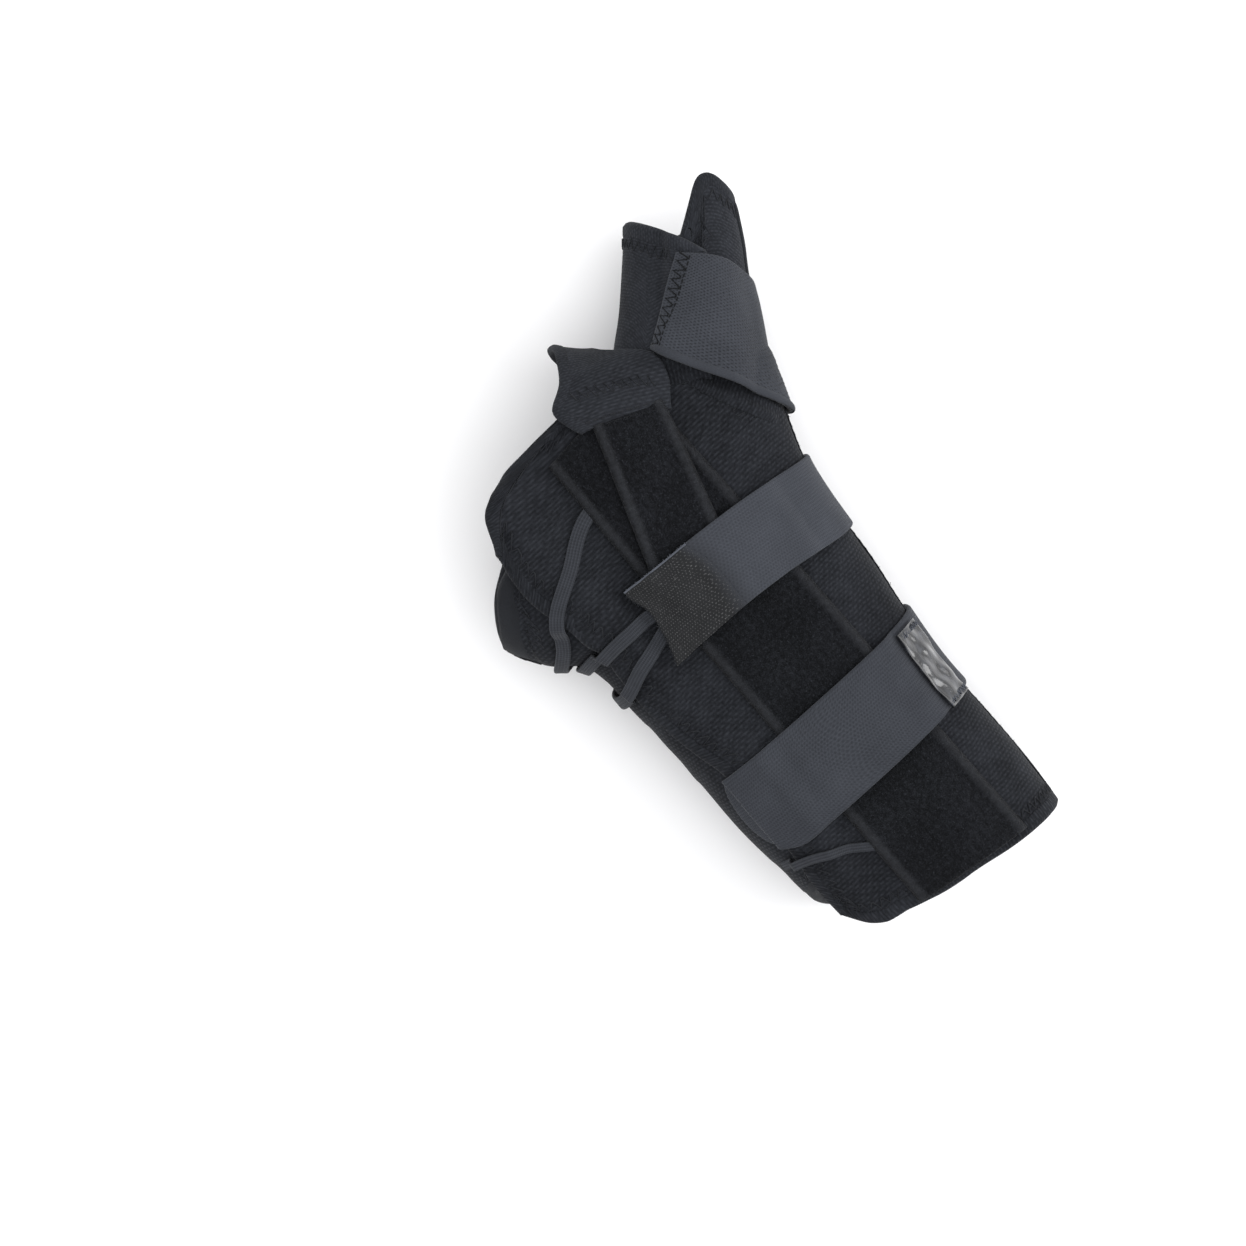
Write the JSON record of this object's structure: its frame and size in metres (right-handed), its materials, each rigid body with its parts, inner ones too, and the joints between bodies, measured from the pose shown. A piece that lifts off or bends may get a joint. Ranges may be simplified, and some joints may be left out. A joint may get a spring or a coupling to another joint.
{
  "type": "thumb spica splint",
  "caption": "Soft wrist and thumb splint, closed as worn: panelled tube round the forearm and hand with a thumb sleeve, straps across wrist and forearm, and laces at the little-finger edge.",
  "frame": {"origin": "on the table under the middle of the whole splint", "axes": "+X runs from the fingers to the elbow, +Y to the thumb side, +Z to the back of the hand"},
  "size_m": [0.2042, 0.1338, 0.0592],
  "materials": {
    "knit": "matt ribbed knit laminate",
    "plush": "brushed loop pile",
    "elastic": "fine ribbed elastic webbing",
    "hook": "hook tape with pale flecks",
    "cord": "flat elastic lace",
    "vinyl": "glossy crinkled film"
  },
  "bodies": {
    "root": {"back_panel": "knit", "palm_panel": "knit", "loop_panel": "plush", "web_strap": "plush", "wrist_strap": "elastic", "wrist_hook_tab": "hook", "forearm_strap": "elastic", "pull_tab": "vinyl", "lace_1": "cord", "lace_2": "cord", "lace_3": "cord", "lace_4": "cord", "thumb_flap": "knit", "thumb_stay_panel": "knit", "thumb_strap": "elastic"}
  },
  "joints": []
}
